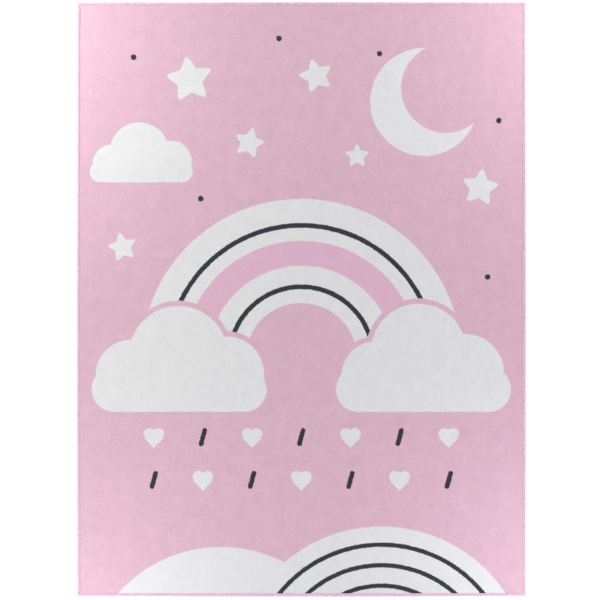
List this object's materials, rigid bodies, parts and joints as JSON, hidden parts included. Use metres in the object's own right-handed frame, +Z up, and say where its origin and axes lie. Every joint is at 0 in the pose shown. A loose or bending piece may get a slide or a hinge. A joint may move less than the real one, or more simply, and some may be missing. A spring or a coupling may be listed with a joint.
{
  "type": "kids rug",
  "caption": "Flat rectangular floor rug for a child's room: low-pile printed cloth with an overlocked yarn edge, lying on the floor.",
  "frame": {"origin": "on the floor under the middle of the rug", "axes": "+X across the width, +Y along the length to the rug's top end, +Z up out of the printed face"},
  "size_m": [1.21, 1.6, 0.0058],
  "materials": {
    "printed_cloth": "matte short pile, printed in dusty pink, white, orchid and charcoal",
    "overlock_yarn": "soft pink polyester yarn, a little lustrous"
  },
  "bodies": {
    "root": {"rug_cloth": "printed_cloth", "edge_binding": "overlock_yarn"}
  },
  "joints": []
}
